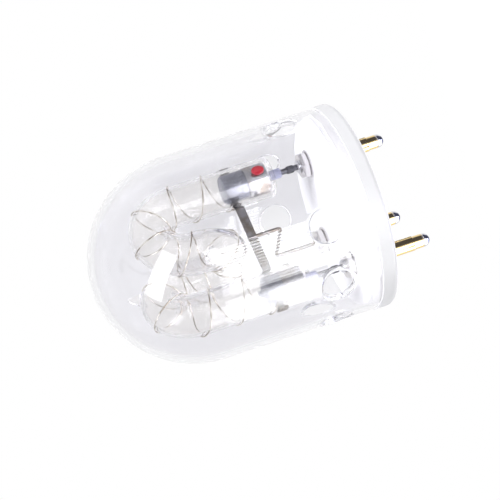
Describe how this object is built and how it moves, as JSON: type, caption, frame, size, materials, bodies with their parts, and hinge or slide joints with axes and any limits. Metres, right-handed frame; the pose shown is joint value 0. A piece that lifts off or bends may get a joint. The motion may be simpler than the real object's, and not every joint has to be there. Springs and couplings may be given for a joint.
{
  "type": "xenon flash tube",
  "caption": "Plug-in xenon flash tube: a folded quartz discharge tube with trigger wire under a vented clear glass dome on a white ceramic base with split contact pins.",
  "frame": {"origin": "centre of the base's flat back face, which seats on the socket", "axes": "+Z from the base towards the dome's apex, +X towards the cathode pin, -Y towards the trigger pin"},
  "size_m": [0.0604, 0.0604, 0.0954],
  "materials": {
    "cover_glass": "clear, fire-polished",
    "base_ceramic": "white, smooth matt",
    "cement": "off-white, matt",
    "quartz": "clear, fire-polished",
    "seal_glass": "milky lilac, smooth",
    "holder_metal": "bright turned",
    "sintered_metal": "satin grey, sintered",
    "lead_metal": "dark drawn",
    "joint_metal": "dark crimped",
    "strap_steel": "rolled, grey",
    "wire_metal": "fine drawn",
    "red_enamel": "glossy red enamel",
    "nickel_plate": "bright nickel plate",
    "gold_plate": "bright gold plate",
    "nut_nickel": "nickel plated"
  },
  "bodies": {
    "root": {"glass_cover": "cover_glass", "base_disc": "base_ceramic", "bond_ring": "cement", "flash_tube": "quartz", "anode_seal": "seal_glass", "cathode_seal": "seal_glass", "anode_holder": "holder_metal", "cathode_holder": "holder_metal", "anode_electrode": "sintered_metal", "cathode_electrode": "sintered_metal", "anode_lead": "lead_metal", "cathode_lead": "lead_metal", "trigger_lead": "strap_steel", "anode_lead_joint": "joint_metal", "cathode_lead_joint": "joint_metal", "tube_strap": "strap_steel", "trigger_wire": "wire_metal", "polarity_mark": "red_enamel", "cathode_pin": "nickel_plate", "cathode_contact_sleeve": "gold_plate", "cathode_nut": "nut_nickel", "cathode_washer": "nut_nickel", "anode_pin": "nickel_plate", "anode_contact_sleeve": "gold_plate", "anode_nut": "nut_nickel", "anode_washer": "nut_nickel", "trigger_pin": "nickel_plate", "trigger_contact_sleeve": "gold_plate", "trigger_nut": "nut_nickel", "trigger_washer": "nut_nickel"}
  },
  "joints": []
}
